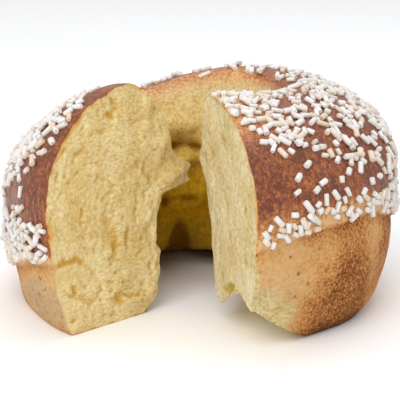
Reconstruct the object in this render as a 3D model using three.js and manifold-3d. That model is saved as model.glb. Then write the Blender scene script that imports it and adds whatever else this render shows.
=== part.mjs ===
// Sweet yeast ring cake with one slice cut out, its domed top strewn with sugar grains.
// Millimetres, +Z up. The cake stands on Z = 0 and its missing slice faces -Y.
// A turn is an angle about the ring's upright axis, in degrees from -Y towards +X.
import * as THREE from "three";
import { MeshSurfaceSampler } from "three/addons/math/MeshSurfaceSampler.js";
import { mergeVertices } from "three/addons/utils/BufferGeometryUtils.js";
import Module from "manifold-3d";

// Where the ring's axis stands: the origin is the middle of the footprint's box
const AXIS_X = -2.8;
const AXIS_Y = -1;

// Cross-section of the ring: radii from the axis, heights from the table
const FOOT_RADIUS = 87;
const BELLY_RADIUS = 99;
const BELLY_HEIGHT = 66;
const CREST_RADIUS = 52;
const CREST_HEIGHT = 105;
const THROAT_RADIUS = 29;
const THROAT_HEIGHT = 72;
const FOOT_FLARE = 11;
const FOOT_FLARE_HEIGHT = 7;
const SIDE_FULLNESS = 0.7;
const DOME_POWER = 1.12;
const SHOULDER_ANGLE = 30;

// Rim of the baking tin: the risen top overhangs the side below it
const RIM_HEIGHT = 41;
const RIM_LEDGE = 2.2;
const RIM_FADE = 10;

// Uneven rising: how each size swells (mm) at a turn, fading over a width in degrees either side
const UNEVEN = {
  crestHeight: [
    { turn: -46, width: 26, swell: 10 },
    { turn: 16, width: 30, swell: 1 },
    { turn: -128, width: 50, swell: -13 },
    { turn: 150, width: 40, swell: 3 },
  ],
  crestRadius: [
    { turn: 16, width: 40, swell: -7 },
    { turn: -90, width: 30, swell: -11 },
  ],
  bellyRadius: [
    { turn: 85, width: 50, swell: -0.7 },
    { turn: 17, width: 20, swell: 2 },
    { turn: -46, width: 15, swell: 2 },
    { turn: -96, width: 36, swell: -6 },
  ],
  bellyHeight: [
    { turn: 92, width: 45, swell: 8 },
    { turn: -104, width: 45, swell: -10 },
  ],
  footRadius: [
    { turn: 70, width: 25, swell: 2 },
    { turn: 38, width: 15, swell: -2 },
  ],
  sideSwell: [{ turn: 82, width: 32, swell: 1.9 }],
  footFlare: [{ turn: 180, width: 60, swell: 19 }],
  throatRadius: [
    { turn: 16, width: 50, swell: -7 },
    { turn: -46, width: 30, swell: 5 },
  ],
  rimHeight: [
    { turn: 20, width: 12, swell: 3 },
    { turn: 47, width: 28, swell: 16 },
    { turn: -84, width: 34, swell: -18 },
    { turn: 180, width: 35, swell: -4 },
  ],
};

// Soft lumps: relief and size on the crust, in the hole, and the torn crumb of the cut faces
const CRUST_LUMPS = { relief: 1.4, size: 30, core: { radius: 58, height: 53 }, fade: [2, 14] };
const HOLE_LUMPS = { relief: 3.5, size: 15, fadeFoot: [0, 8], fadeCrest: [8, 30] };
const CRUMB_LUMPS = { relief: 1.6, size: 7 };

// Missing slice: each cut's direction, and how far its plane passes from the axis
const LEFT_CUT = { turn: -45.9, offset: 8.4 };
const RIGHT_CUT = { turn: 16.8, offset: 2 };

// Torn places: crumb pulled out of the left cut's inner edge and the brow above it, the hole's far lip, its
// shelf and undercut beside the right cut, the right piece's ragged, lifted foot with a flap hanging in it,
// and the hole's far edge standing a little off the table
const TONGUE = { turn: -44, width: 16, height: 63, below: 6, above: 16, reach: 20 };
const BROW = { turn: -44, width: 24, heights: [75, 90], fadeCrest: [0, 15], reach: 5 };
const LIP = { turn: 180, width: 75, height: 78, thickness: 9, reach: 4 };
const SHELF = { height: 70, fade: 8, depth: 6 };
const UNDERCUT = { turn: 17, width: 25, height: 58, fade: 40, depth: 14 };
const TORN_FOOT = { lift: 20.5, length: 34, sag: 1.25 };
const FLAP = { radius: 52, width: 15, drop: 12.6, length: 8 };
const FAR_FOOT = { turn: 180, width: 45, lift: 4.3, inner: 60, outer: 70 };

// The funnel into the hole is squarer beside the right cut: how much its power grows there
const FUNNEL_POWER = 2;
const SQUARE_FUNNEL = { turn: 16, width: 35, power: 3 };

// Sugar grains: short rods lying on the crust and a little sunk in it
const GRAIN_COUNT = 175;
const GRAIN_DIAMETER = 2.3;
const GRAIN_LENGTHS = { longest: 7, shortest: 4 };
const GRAIN_SINK = 0.3;
const GRAIN_SIDES = 5;
const GRAIN_SPACING = 6.5;
const GRAIN_SEED = 1405;

// Where they lie: a band on the rim's ledge, a bare belt, and the dome from low to high shares of its rise
const COVER = { ledgeBand: 8, ledgeShare: 0.8, outside: [0.2, 0.7], inside: [0.8, 1], cutMargin: 5 };

// Mesh steps along the arc, across the section and up it
const ARC_STEPS = 46;
const ACROSS_STEPS = 9;
const RISE_STEPS = 12;
const MERGE_DISTANCE = 1e-4;

const wasm = await Module();
wasm.setup();

const { lerp, clamp, smoothstep, degToRad, radToDeg, euclideanModulo } = THREE.MathUtils;
const sine = (degrees) => Math.sin(degToRad(degrees));
const cosine = (degrees) => Math.cos(degToRad(degrees));
const bell = (away, width) => Math.exp(-((away / width) ** 2));
const turnBetween = (turn, other) => euclideanModulo(turn - other + 180, 360) - 180;
const place = (turn, radius, height) =>
  new THREE.Vector3(radius * sine(turn), -radius * cosine(turn), height);

// A size that swells and shrinks round the ring
const uneven = (key, size) => (turn) =>
  UNEVEN[key].reduce((sum, at) => sum + at.swell * bell(turnBetween(turn, at.turn), at.width), size);

const crestHeight = uneven("crestHeight", CREST_HEIGHT);
const crestRadius = uneven("crestRadius", CREST_RADIUS);
const bellyRadius = uneven("bellyRadius", BELLY_RADIUS);
const bellyHeight = uneven("bellyHeight", BELLY_HEIGHT);
const footRadius = uneven("footRadius", FOOT_RADIUS);
const sideSwell = uneven("sideSwell", 0);
const footFlare = uneven("footFlare", FOOT_FLARE);
const throatRadius = uneven("throatRadius", THROAT_RADIUS);
const rimHeight = uneven("rimHeight", RIM_HEIGHT);

// A fixed pseudo-random number from 0 to 1 at a lattice point
function latticeValue(i, j, k) {
  const wave = Math.sin(i * 127.1 + j * 311.7 + k * 74.7) * 43758.5453;
  return wave - Math.floor(wave);
}

// Smooth lumps from -1 to 1: random lattice values, blended between lattice points a size apart
function lumps(x, y, z, size) {
  const cell = [x, y, z].map((value) => Math.floor(value / size));
  const blend = [x, y, z].map((value, axis) => smoothstep(value / size - cell[axis], 0, 1));
  let total = 0;
  for (let corner = 0; corner < 8; corner++) {
    const step = [corner & 1, (corner >> 1) & 1, (corner >> 2) & 1];
    const weight = step.reduce((share, s, axis) => share * (s ? blend[axis] : 1 - blend[axis]), 1);
    total += weight * latticeValue(cell[0] + step[0], cell[1] + step[1], cell[2] + step[2]);
  }
  return 2 * total - 1;
}

// Radius of the outer wall at a height: a tapered side below the belly, a flattened ellipse above it
function outerRadius(turn, height) {
  const belly = bellyRadius(turn);
  const crest = crestRadius(turn);
  const level = bellyHeight(turn);
  if (height > level) {
    const rise = Math.min((height - level) / (crestHeight(turn) - level), 1);
    return crest + (belly - crest) * (1 - rise ** (2 / DOME_POWER)) ** (DOME_POWER / 2);
  }
  const fullness = Math.sin((Math.PI / 2) * (height / level) ** SIDE_FULLNESS);
  const under = rimHeight(turn) - height;
  const ledge = under > 0 ? RIM_LEDGE * Math.exp(-under / RIM_FADE) : 0;
  const swell = sideSwell(turn) * Math.sin(Math.PI * (height / level));
  return lerp(footRadius(turn), belly, fullness) + swell - ledge;
}

// How near a turn is to a torn place, from 0 to 1
const nearness = (turn, at) => bell(turnBetween(turn, at.turn), at.width);

// How far the hole's far edge stands off the table
const farFoot = (turn) => FAR_FOOT.lift * nearness(turn, FAR_FOOT);

// Radius of the hole at a height: a flared foot, a lumpy and torn throat, and a funnel rounding over to the crest
function holeRadius(turn, height) {
  const throat = throatRadius(turn);
  const below = crestHeight(turn) - height;
  const rise = Math.max(height - THROAT_HEIGHT, 0) / (crestHeight(turn) - THROAT_HEIGHT);
  const near = (at) => nearness(turn, at);
  const power = FUNNEL_POWER + SQUARE_FUNNEL.power * near(SQUARE_FUNNEL);
  const funnel = (crestRadius(turn) - throat) * (1 - Math.max(1 - rise ** power, 0) ** (1 / power));
  const flare = footFlare(turn) * Math.exp(-Math.max(height - farFoot(turn), 0) / FOOT_FLARE_HEIGHT);
  const shelf = SHELF.depth * smoothstep(SHELF.height - height, 0, SHELF.fade);
  const hollow = UNDERCUT.depth * smoothstep(UNDERCUT.height - height, 0, UNDERCUT.fade);
  const undercut = near(UNDERCUT) * (shelf + hollow);
  const over = height - TONGUE.height;
  const tongueFade = over < 0 ? Math.exp(-((over / TONGUE.below) ** 4)) : bell(over, TONGUE.above);
  const tongue = TONGUE.reach * near(TONGUE) * tongueFade;
  const browFade = smoothstep(height, ...BROW.heights) * smoothstep(below, ...BROW.fadeCrest);
  const brow = BROW.reach * near(BROW) * browFade;
  const lip = LIP.reach * near(LIP) * bell(height - LIP.height, LIP.thickness);
  const { relief, size, fadeFoot, fadeCrest } = HOLE_LUMPS;
  const fade = smoothstep(height, ...fadeFoot) * smoothstep(below, ...fadeCrest);
  const { x, y, z } = place(turn, throat, height);
  const torn = undercut - tongue - brow - lip + fade * relief * lumps(x, y, z, size);
  return throat + funnel + flare + torn;
}

// A point of the domed top: 0 degrees is the belly, 90 the crest and 180 the throat
function domePoint(turn, angle) {
  const outside = angle < 90;
  const level = outside ? bellyHeight(turn) : THROAT_HEIGHT;
  const height = level + (crestHeight(turn) - level) * sine(angle) ** (outside ? DOME_POWER : 1);
  return { radius: outside ? outerRadius(turn, height) : holeRadius(turn, height), height };
}

// How far the foot is lifted off the table: torn beside the right cut, with a flap left hanging in it, and at
// the hole's far edge
function footLift(turn, radius) {
  const arc = degToRad(turn - RIGHT_CUT.turn) * radius;
  const flap = FLAP.drop * bell(radius - FLAP.radius, FLAP.width) * bell(arc, FLAP.length);
  const torn = (TORN_FOOT.lift - flap) * clamp(1 - arc / TORN_FOOT.length, 0, 1) ** TORN_FOOT.sag;
  return torn + farFoot(turn) * (1 - smoothstep(radius, FAR_FOOT.inner, FAR_FOOT.outer));
}

// The section's four edges: foot, hole wall, outer wall and top, each from 0 to 1
function sectionEdges(turn) {
  const shoulderOut = domePoint(turn, SHOULDER_ANGLE);
  const shoulderIn = domePoint(turn, 180 - SHOULDER_ANGLE);
  const footIn = holeRadius(turn, 0);
  const foot = (across) => {
    const radius = lerp(footIn, footRadius(turn), across);
    return { radius, height: footLift(turn, radius) };
  };
  const wall = (radiusAt, low, middle, high) => (rise) => {
    const height = rise < 0.5 ? lerp(low, middle, 2 * rise) : lerp(middle, high, 2 * rise - 1);
    return { radius: radiusAt(turn, height), height };
  };
  return {
    foot,
    hole: wall(holeRadius, foot(0).height, RIM_HEIGHT, shoulderIn.height),
    outer: wall(outerRadius, foot(1).height, rimHeight(turn), shoulderOut.height),
    top: (across) => domePoint(turn, lerp(180 - SHOULDER_ANGLE, SHOULDER_ANGLE, across)),
  };
}

// A point of the section: its four edges blended into one patch, 0 to 1 across and 0 to 1 up
function sectionPoint(turn, across, rise) {
  const { foot, hole, outer, top } = sectionEdges(turn);
  const blend = (key) =>
    lerp(foot(across)[key], top(across)[key], rise) +
    lerp(hole(rise)[key], outer(rise)[key], across) -
    lerp(lerp(foot(0)[key], foot(1)[key], across), lerp(top(0)[key], top(1)[key], across), rise);
  return { radius: blend("radius"), height: blend("height") };
}

// The turn of a flat knife cut at a radius
const knifeTurn = (cut, radius) =>
  Math.sign(cut.turn) * (Math.abs(cut.turn) - radToDeg(Math.asin(cut.offset / radius)));

// How many degrees the torn crumb of a cut stands back from the knife's plane
const crumbTurn = (cut, radius, height) =>
  radToDeg(CRUMB_LUMPS.relief * lumps(radius, height, cut.turn, CRUMB_LUMPS.size)) / radius;

// A point of the cake: arc runs 0 to 1 from the right cut round the back to the left cut
function cakePoint(arc, across, rise) {
  const spanned = lerp(RIGHT_CUT.turn, LEFT_CUT.turn + 360, arc);
  const { radius, height } = sectionPoint(spanned, across, rise);
  const from = knifeTurn(RIGHT_CUT, radius) + crumbTurn(RIGHT_CUT, radius, height);
  const to = knifeTurn(LEFT_CUT, radius) - crumbTurn(LEFT_CUT, radius, height) + 360;
  const point = place(lerp(from, to, arc), radius, height);
  const { relief, size, core, fade } = CRUST_LUMPS;
  const out = point.clone().sub(place(spanned, core.radius, core.height)).normalize();
  const swell = relief * lumps(point.x, point.y, point.z, size) * smoothstep(height, ...fade);
  return point.addScaledVector(out, swell);
}

// A closed geometry as a solid that can be fused
function solidOf(geometry) {
  const bare = geometry.clone();
  bare.deleteAttribute("normal");
  bare.deleteAttribute("uv");
  const merged = mergeVertices(bare, MERGE_DISTANCE);
  const mesh = new wasm.Mesh({
    numProp: 3,
    vertProperties: new Float32Array(merged.attributes.position.array),
    triVerts: new Uint32Array(merged.index.array),
  });
  return new wasm.Manifold(mesh);
}

// A fused solid as a geometry again
function geometryOf(solid) {
  const { vertProperties, triVerts } = solid.getMesh();
  const geometry = new THREE.BufferGeometry();
  geometry.setAttribute("position", new THREE.BufferAttribute(new Float32Array(vertProperties), 3));
  geometry.setIndex(new THREE.BufferAttribute(new Uint32Array(triVerts), 1));
  geometry.computeVertexNormals();
  return geometry;
}

// The ring: a finely divided box bent round the axis, its ends the two cut faces
function ringGeometry() {
  const geometry = new THREE.BoxGeometry(1, 1, 1, ARC_STEPS, ACROSS_STEPS, RISE_STEPS);
  const corners = geometry.attributes.position;
  for (let i = 0; i < corners.count; i++) {
    const point = cakePoint(corners.getX(i) + 0.5, 0.5 - corners.getY(i), corners.getZ(i) + 0.5);
    corners.setXYZ(i, point.x, point.y, point.z);
  }
  const facets = geometry.toNonIndexed();
  facets.computeVertexNormals();
  return facets;
}

// A seeded random draw from 0 to 1
function seededDraw(seed) {
  let state = seed;
  return () => {
    state = (Math.imul(state, 1664525) + 1013904223) >>> 0;
    return state / 2 ** 32;
  };
}

// How thickly the grains lie at a point of the crust, from 0 to 1
function grainCover(point) {
  const radius = Math.hypot(point.x, point.y);
  const turn = radToDeg(Math.atan2(point.x, -point.y));
  const nearCut = [RIGHT_CUT, LEFT_CUT].some(
    (cut) => Math.abs(sine(turn - knifeTurn(cut, radius))) * radius < COVER.cutMargin,
  );
  if (nearCut || radius < throatRadius(turn)) return 0;
  const level = bellyHeight(turn);
  const rise = (point.z - level) / (crestHeight(turn) - level);
  const ledge = COVER.ledgeShare * bell(point.z - rimHeight(turn) - COVER.ledgeBand, COVER.ledgeBand);
  const dome = smoothstep(rise, ...(radius > crestRadius(turn) ? COVER.outside : COVER.inside));
  return Math.max(ledge, dome);
}

// One grain: a short prism lying along the crust
function grainSolid(centre, out, heading, length) {
  const along = heading.projectOnPlane(out).normalize();
  const side = new THREE.Vector3().crossVectors(along, out);
  const raised = centre.clone().addScaledVector(out, GRAIN_DIAMETER * (0.5 - GRAIN_SINK));
  const rod = new THREE.CylinderGeometry(GRAIN_DIAMETER / 2, GRAIN_DIAMETER / 2, length, GRAIN_SIDES);
  rod.applyMatrix4(new THREE.Matrix4().makeBasis(side, along, out).setPosition(raised));
  return solidOf(rod);
}

// The sugar: grains strewn by seeded draws, longest first, kept apart from each other and from the cuts
function grainSolids(ring) {
  const draw = seededDraw(GRAIN_SEED);
  const sampler = new MeshSurfaceSampler(new THREE.Mesh(ring)).setRandomGenerator(draw).build();
  const { longest, shortest } = GRAIN_LENGTHS;
  const centres = [];
  const solids = [];
  while (solids.length < GRAIN_COUNT) {
    const centre = new THREE.Vector3();
    const out = new THREE.Vector3();
    sampler.sample(centre, out);
    const spaced = centres.every((other) => other.distanceTo(centre) > GRAIN_SPACING);
    if (draw() > grainCover(centre) || !spaced) continue;
    const heading = new THREE.Vector3(draw() - 0.5, draw() - 0.5, draw() - 0.5);
    solids.push(grainSolid(centre, out, heading, lerp(longest, shortest, solids.length / GRAIN_COUNT)));
    centres.push(centre);
  }
  return solids;
}

// The whole cake: one piece, the sugar fused to the crust
const ring = ringGeometry();
const sugared = grainSolids(ring).reduce((cake, grain) => cake.add(grain), solidOf(ring));
const crust = new THREE.MeshStandardMaterial({ color: 0x8a4a22, roughness: 0.6, metalness: 0 });
const ringCake = new THREE.Mesh(geometryOf(sugared), crust);
ringCake.name = "ring_cake";

const part = new THREE.Group();
part.position.set(AXIS_X, AXIS_Y, 0);
part.add(ringCake);
export default part;
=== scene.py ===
"""Sweet yeast ring cake with one slice cut out, its domed top strewn with rods of pearl sugar.

Shapes are worked out in millimetres about the ring's upright axis and put into meshes in metres. A turn is an
angle about that axis, in degrees from -Y towards +X, and what lies at a turn has its width in degrees too.
"""
from functools import partial

import bpy
import numpy as np
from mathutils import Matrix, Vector


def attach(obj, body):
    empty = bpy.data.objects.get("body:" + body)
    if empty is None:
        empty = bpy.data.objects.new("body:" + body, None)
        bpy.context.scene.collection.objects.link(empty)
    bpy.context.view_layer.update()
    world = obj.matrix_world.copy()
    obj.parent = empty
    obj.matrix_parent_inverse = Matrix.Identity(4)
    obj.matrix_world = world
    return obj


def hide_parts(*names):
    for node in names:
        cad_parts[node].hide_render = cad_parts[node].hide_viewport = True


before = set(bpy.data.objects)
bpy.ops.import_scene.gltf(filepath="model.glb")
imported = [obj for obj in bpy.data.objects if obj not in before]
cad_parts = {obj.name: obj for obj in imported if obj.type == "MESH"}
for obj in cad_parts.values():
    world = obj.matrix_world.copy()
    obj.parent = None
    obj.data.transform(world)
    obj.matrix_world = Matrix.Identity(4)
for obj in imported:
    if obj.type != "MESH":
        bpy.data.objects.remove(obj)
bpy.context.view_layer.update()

MM = 0.001
AXIS = np.array([-2.8, -1.0, 0.0])  # where the ring's axis stands, mm

# Cross-section of the ring, mm (radii from the axis, heights from the table): each size's mean, and where the
# dough rose unevenly, as turn, width and swell
SIZES = {
    "foot_radius": (87, [(70, 25, 2), (38, 15, -2)]),
    "belly_radius": (99, [(85, 50, -0.7), (17, 20, 2), (-46, 15, 2), (-96, 36, -6)]),
    "belly_height": (66, [(92, 45, 8), (-104, 45, -10)]),
    "crest_radius": (52, [(16, 40, -7), (-90, 30, -11)]),
    "crest_height": (105, [(-46, 26, 10), (16, 30, 1), (-128, 50, -13), (150, 40, 3)]),
    "throat_radius": (29, [(16, 50, -7), (-46, 30, 5)]),
    "side_swell": (0, [(82, 32, 1.9)]),
    "foot_flare": (11, [(180, 60, 19)]),
    "rim_height": (41, [(20, 12, 3), (47, 28, 16), (-84, 34, -18), (180, 35, -4)]),
}
THROAT_HEIGHT = 72
HOLE_SIDE = 72  # below the throat, what is nearer the axis is the hole's wall
SIDE_RADIUS = 90.0  # where patterns of the side are laid out
FOOT_FLARE_HEIGHT = 7
SIDE_FULLNESS = 0.7
DOME_POWER = 1.12
SHOULDER_ANGLE = 50  # degrees of the dome that belong to each wall
RIM = {"ledge": 2.2, "step": (-0.6, 1.4), "fade": 10, "radius": 100.0, "wander": 1.2, "wander_size": 17}

# Missing slice: each cut's turn, and how far its plane passes from the axis
LEFT_CUT = (-45.9, 8.4)
RIGHT_CUT = (16.8, 2.0)
RIGHT_TURN = RIGHT_CUT[0]
BESIDE = 80  # turn from a cut up to which the skin is measured from it
FAR_AWAY = 99.0
SPAN = LEFT_CUT[0] + 360 - RIGHT_TURN

# A tongue of torn crumb at the left cut's inner edge
TONGUE = {"at": (-44, 16), "height": 63, "below": 4.2, "above": 16, "reach": 20}
# Steps of the hole's wall: turn, width, the heights between which each grows, and reach inwards (mm). An
# undercut of the right cut's inner edge, a step below its nib, and a brow above the tongue
HOLE_STEPS = [(17, 25, 58, 18, -14), (17, 25, 70, 62, -6), (-44, 24, 75, 90, 5)]
STEPS_FADE = 15  # over this depth below the crest (mm)
# Humps of it: turn, width, height, thickness and reach inwards (mm). The nib, a far lip and a hollow below it
HOLE_HUMPS = [(17, 12, 74.5, 3.5, 3.5), (180, 75, 78, 9, 4), (180, 75, 56, 12, -2.8)]
# The funnel is squarer beside the right cut
SQUARE_FUNNEL = {"at": (16, 35), "power": 3}
# Right piece's foot: torn and lifted beside the cut, higher inside its outer edge, with a thin hanging flap
TORN_FOOT = {"lift": 20.5, "length": 34, "sag": 1.25, "arch": 4, "inner": 74, "outer": 88, "turns": 60}
FLAP = {"radius": 49, "width": 18, "drop": 13.8, "length": 3, "turns": 25, "top": 26}
# Hole's far edge, which stands off the table
FAR_FOOT = {"at": (180, 45), "lift": 4.3, "inner": 60, "outer": 70}
# Skin torn off the side beside the right cut
TORN_SKIN = {"height": 32, "length": 19.5, "power": 4, "depth": 2.5, "edge": 5}

# Steps where the tinned side tapers more, given as for the hole
TAPERED = [(-70, 20, 30, 8, 3.0), (76, 14, 9, 0, 3.4), (50, 14, 9, 0, 1.5)]

# Bulges and cavities of the hole's far wall: turn, height, half arc, half height and reach inwards (mm)
FAR_WALL = [
    (195, 78, 11, 6, 3.0),
    (190, 69, 6, 2.4, -3.6),
    (172, 67.5, 3.5, 2.6, -3.8),
    (199, 64.5, 5, 3.0, -3.4),
    (182, 62, 5, 4.5, 4.5),
    (202, 39.5, 3.2, 3, -3.4),
    (178, 40.5, 6, 2.4, -2.6),
    (187, 14, 5, 16, -4.6),
    (206, 26, 5, 9, 2.0),
    (166, 30, 7, 9, 2.5),
]
FAR_WALL_EDGE = 3  # the higher, the steeper their edges

# Layers of lumps on each surface: relief, size and shift of the pattern (mm; for the tongue, the torn skin's
# crumb, hollows and the width of seams the relief is a share)
CRUST_LUMPS = [(1.4, 30, 0), (0.5, 11.0, 0), (0.18, 4.0, 0)]
CRUST_CORE = (58, 53)  # radius and height that the risen dough swells away from
CRUST_LUMPS_RISE = (2, 14)  # heights over which they begin
HOLE_LUMPS = [(3.5, 15, 0)]
HOLE_FINE_LUMPS = [(2.2, 7.0, 0), (1.1, 3.6, 0)]
HOLE_FADE = {"foot": (0, 8), "below_crest": (8, 30), "fine": (94, 70)}  # heights they fade over
TONGUE_LUMPS = [(0.2, 8.0, 0), (0.16, 3.4, 20)]
TORN_FOOT_LUMPS = [(1.3, 7.0, 0), (0.7, 3.0, 0)]
TORN_SKIN_LUMPS = [(2.5, 9, 0)]
TORN_SKIN_CRUMB = [(0.5, 5, 0)]
CRUMB_LUMPS = [(0.6, 7.0, 0), (0.25, 3.1, 0), (0.14, 1.7, 40)]
CRUMB_EDGE_LUMPS = [(2.0, 6.5, 0), (0.7, 3.0, 0)]
CRUMB_EDGE = (56, 30)  # radii over which they grow towards the hole
HOLLOW_LUMPS = [(0.3, 2.3, 0)]
SEAM_WIDTH_LUMPS = [(0.6, 4.0, 0)]
SEAM_LUMPS = [(1.1, 2.0, 0)]

# Grid steps: round the ring, across the section and up it (the cut faces have twice as many)
ARC_STEPS = 300
ACROSS_STEPS = 42
RISE_STEPS = 72

random = np.random.default_rng(1405)


def smoothstep(x, low, high):
    """Zero at low, one at high, and an s-shaped cubic between; low may be the greater."""
    t = np.clip((x - low) / (high - low), 0, 1)
    return t * t * (3 - 2 * t)


def bell(away, width):
    """A hump of height one: the exponential of minus the square of the distance over a width."""
    return np.exp(-((away / width) ** 2))


def plateau(away, width):
    """A flat-topped hump of height one: as a bell, with the fourth power in place of the square."""
    return np.exp(-((away / width) ** 4))


def turn_between(turn, other):
    """The turn from one angle to another, from -180 to 180 degrees."""
    return (turn - other + 180) % 360 - 180


def hump(turn, centre, width):
    """A hump of height one round the ring, at a turn and of a width in degrees."""
    return bell(turn_between(turn, centre), width)


def sized(key, turn):
    """A size of the section at a turn: its mean value plus its swells, each a hump round the ring."""
    mean, swells = SIZES[key]
    total = np.full(np.shape(turn), float(mean))
    for centre, width, swell in swells:
        total = total + swell * hump(turn, centre, width)
    return total


def place(turn, radius, height):
    """Points at a turn, radius and height: radius times the sine and minus the cosine of the turn, and
    height."""
    a = np.radians(turn)
    return np.stack(np.broadcast_arrays(radius * np.sin(a), -radius * np.cos(a), height), -1)


def lattice_value(i, j, k):
    """A fixed pseudo-random number from 0 to 1 at a lattice point: the fraction of a large sine."""
    wave = np.sin(i * 127.1 + j * 311.7 + k * 74.7) * 43758.5453
    return wave - np.floor(wave)


def lumps(points, size):
    """Smooth lumps from -1 to 1: random values at lattice points a size apart, blended by cubics between
    them."""
    cell = np.floor(points / size)
    blend = smoothstep(points / size - cell, 0, 1)
    total = 0
    for corner in range(8):
        step = np.array([corner & 1, corner >> 1 & 1, corner >> 2 & 1])
        weight = np.prod(np.where(step == 1, blend, 1 - blend), axis=-1)
        total = total + weight * lattice_value(*np.moveaxis(cell + step, -1, 0))
    return 2 * total - 1


def layered(points, layers):
    """Lumps of several sizes summed, each its relief times the lumps of its size, shifted."""
    return sum(relief * lumps(points + shift, size) for relief, size, shift in layers)


def stepped(turn, height, steps):
    """Steps of a wall summed (mm): each its reach times a hump round the ring and a cubic of the height."""
    total = 0
    for centre, width, start, end, reach in steps:
        total = total + reach * hump(turn, centre, width) * smoothstep(height, start, end)
    return total


def rim_height(turn):
    """Height of the tin's rim line: its size at that turn, with a small wander."""
    wander = lumps(place(turn, RIM["radius"], 0 * turn), RIM["wander_size"])
    return sized("rim_height", turn) + RIM["wander"] * wander


def torn_inside(turn, height):
    """How far (mm) a point of the outer wall is inside the torn patch: a rounded oblong between the right
    cut and the foot, with a ragged edge."""
    arc = np.radians(np.abs(turn_between(turn, RIGHT_TURN))) * SIZES["foot_radius"][0]
    power = TORN_SKIN["power"]
    share = (arc / TORN_SKIN["length"]) ** power + (np.maximum(height, 0) / TORN_SKIN["height"]) ** power
    inside = TORN_SKIN["length"] * (1 - share ** (1 / power))
    return inside + layered(place(turn, SIDE_RADIUS, height), TORN_SKIN_LUMPS)


def outer_radius(turn, height):
    """Radius of the outer wall: below the belly a sine of a power of the height, recessed under the rim and
    where it is torn or tapers more; above the belly a flattened ellipse up to the crest."""
    belly, crest, level = (sized(key, turn) for key in ("belly_radius", "crest_radius", "belly_height"))
    rise = np.clip((height - level) / (sized("crest_height", turn) - level), 0, 1)
    dome = crest + (belly - crest) * (1 - rise ** (2 / DOME_POWER)) ** (DOME_POWER / 2)
    fullness = np.sin(np.pi / 2 * np.clip(height / level, 0, 1) ** SIDE_FULLNESS)
    under = rim_height(turn) - height
    ledge = RIM["ledge"] * np.exp(-np.maximum(under, 0) / RIM["fade"]) * smoothstep(under, *RIM["step"])
    foot = sized("foot_radius", turn)
    uneven = 1 + layered(place(turn, SIDE_RADIUS, height), TORN_SKIN_CRUMB)
    crumb = TORN_SKIN["depth"] * smoothstep(torn_inside(turn, height), 0, TORN_SKIN["edge"]) * uneven
    swell = sized("side_swell", turn) * np.sin(np.pi * np.clip(height / level, 0, 1))
    side = foot + (belly - foot) * fullness + swell - ledge - crumb - stepped(turn, height, TAPERED)
    return np.where(height > level, dome, side)


def far_foot(turn):
    """How far the hole's far edge stands off the table: a height that dies away round the ring."""
    return FAR_FOOT["lift"] * hump(turn, *FAR_FOOT["at"])


def far_wall(turn, height):
    """How far (mm) the torn far wall reaches into the hole: humps and hollows with steep edges, each an
    exponential of a power of the elliptical distance in arc and height, summed."""
    total = np.zeros(np.broadcast_shapes(np.shape(turn), np.shape(height)))
    for centre, level, half_arc, half_height, reach in FAR_WALL:
        arc = np.radians(turn_between(turn, centre)) * SIZES["throat_radius"][0]
        away = np.hypot(arc / half_arc, (height - level) / half_height)
        total = total + reach * np.exp(-(away**FAR_WALL_EDGE))
    return total


def tongue(turn, height, points):
    """How far (mm) torn crumb reaches into the hole beside the left cut: a ragged hump, steep below and soft
    above."""
    over = height - TONGUE["height"]
    upright = np.where(over < 0, plateau(over, TONGUE["below"]), bell(over, TONGUE["above"]))
    return TONGUE["reach"] * hump(turn, *TONGUE["at"]) * upright * (1 + layered(points, TONGUE_LUMPS))


def hole_radius(turn, height):
    """Radius of the hole: throat plus a flared foot that dies away upwards and a funnel as a quarter
    ellipse to the crest, squarer beside the right cut, less the wall's steps and humps, tongue and torn far
    side, and with lumps of torn crumb, of which the fine ones stop below the funnel's edge."""
    throat, crest, top = (sized(key, turn) for key in ("throat_radius", "crest_radius", "crest_height"))
    rise = np.clip((height - THROAT_HEIGHT) / (top - THROAT_HEIGHT), 0, 1)
    square = SQUARE_FUNNEL["power"] * hump(turn, *SQUARE_FUNNEL["at"])
    funnel = (crest - throat) * (1 - (1 - rise ** (2 + square)) ** (1 / (2 + square)))
    flare = sized("foot_flare", turn) * np.exp(-np.maximum(height - far_foot(turn), 0) / FOOT_FLARE_HEIGHT)
    points = place(turn, throat, height)
    fade = smoothstep(height, *HOLE_FADE["foot"]) * smoothstep(top - height, *HOLE_FADE["below_crest"])
    fine = smoothstep(height, *HOLE_FADE["fine"]) * layered(points, HOLE_FINE_LUMPS)
    torn = fade * (layered(points, HOLE_LUMPS) + fine)
    inwards = stepped(turn, height, HOLE_STEPS) * smoothstep(top - height, 0, STEPS_FADE)
    for centre, width, level, thickness, reach in HOLE_HUMPS:
        inwards = inwards + reach * hump(turn, centre, width) * bell(height - level, thickness)
    inwards = inwards + tongue(turn, height, points) + far_wall(turn, height)
    return throat + funnel + flare - inwards + torn


def dome_point(turn, angle):
    """Radius and height on the dome: the height is a power of the angle's sine from belly or throat to the
    crest; 0 degrees is the belly, 90 the crest and 180 the throat."""
    outside = angle < 90
    level = np.where(outside, sized("belly_height", turn), THROAT_HEIGHT)
    power = np.where(outside, DOME_POWER, 1.0)
    height = level + (sized("crest_height", turn) - level) * np.sin(np.radians(angle)) ** power
    return np.where(outside, outer_radius(turn, height), hole_radius(turn, height)), height


def inwardness(turn, radius, height):
    """How far down the funnel a point lies: 0 at the crest, 1 at the throat, less than 0 outside the
    crest."""
    crest, top = sized("crest_radius", turn), sized("crest_height", turn)
    rise = np.clip((height - THROAT_HEIGHT) / (top - THROAT_HEIGHT), 0, 1)
    outside = (crest - radius) / (crest - sized("throat_radius", turn))
    return np.where(radius < crest, np.sqrt(1 - rise * rise), outside)


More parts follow.
